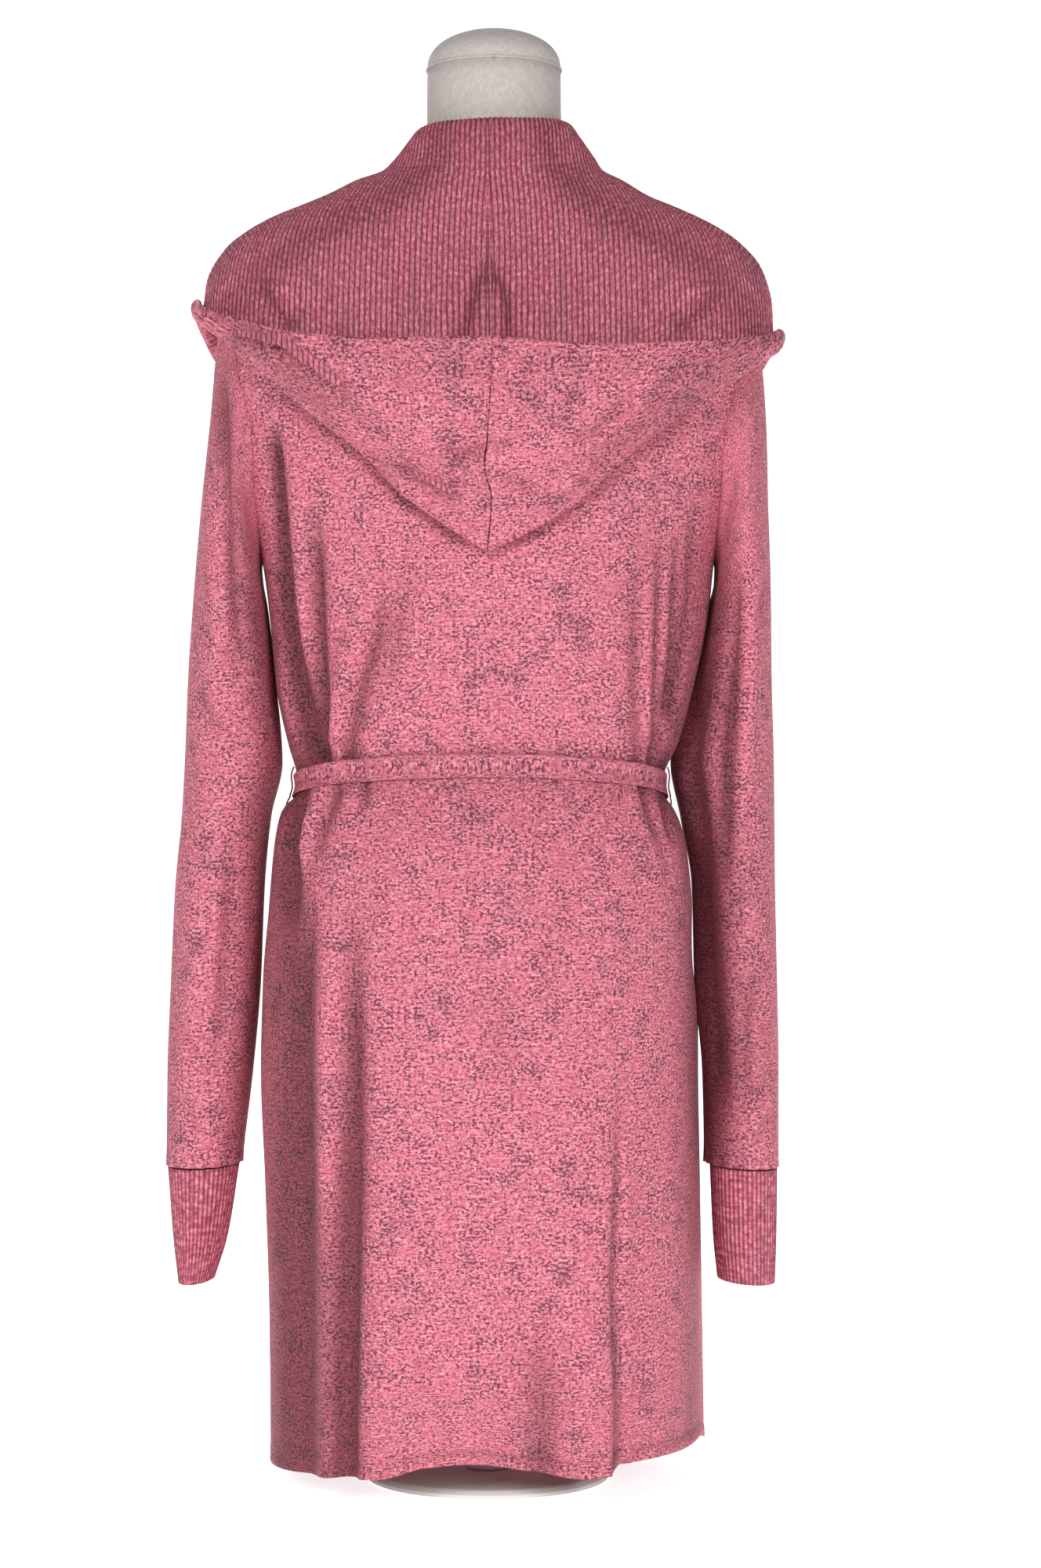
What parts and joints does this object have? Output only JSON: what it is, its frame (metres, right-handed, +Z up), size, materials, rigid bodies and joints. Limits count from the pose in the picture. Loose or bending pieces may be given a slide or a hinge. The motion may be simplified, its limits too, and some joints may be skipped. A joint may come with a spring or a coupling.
{
  "type": "hooded belted cardigan on a limbless dress form",
  "caption": "Hooded, open-front knit cardigan tied with its own belt, worn by a limbless dress form that stands on a pole and a round base.",
  "frame": {"origin": "centre of the underside of the round base, on the surface that it stands on", "axes": "+Z up along the pole, -Y towards the front of the cardigan, +X towards the wearer's left"},
  "size_m": [0.4337, 0.2884, 1.013],
  "materials": {
    "jersey": "matt marl jersey, bright pink with dark specks",
    "rib_knit": "matt rib knit, a shade darker than the jersey",
    "loop_thread": "matt sewing thread",
    "form_cover": "matt cream linen",
    "stand_paint": "satin off-white paint"
  },
  "bodies": {
    "root": {"form_torso": "form_cover", "form_cap": "form_cover", "form_pole": "stand_paint", "form_base": "stand_paint", "back_panel": "jersey", "front_left": "jersey", "front_right": "jersey", "sleeve_left": "jersey", "sleeve_right": "jersey", "cuff_left": "rib_knit", "cuff_right": "rib_knit", "hood_shell_left": "jersey", "hood_shell_right": "jersey", "hood_lining_left": "rib_knit", "hood_lining_right": "rib_knit", "belt_band": "jersey", "belt_knot": "jersey", "belt_tail_left": "jersey", "belt_tail_right": "jersey", "belt_loop_left": "loop_thread", "belt_loop_right": "loop_thread"}
  },
  "joints": []
}
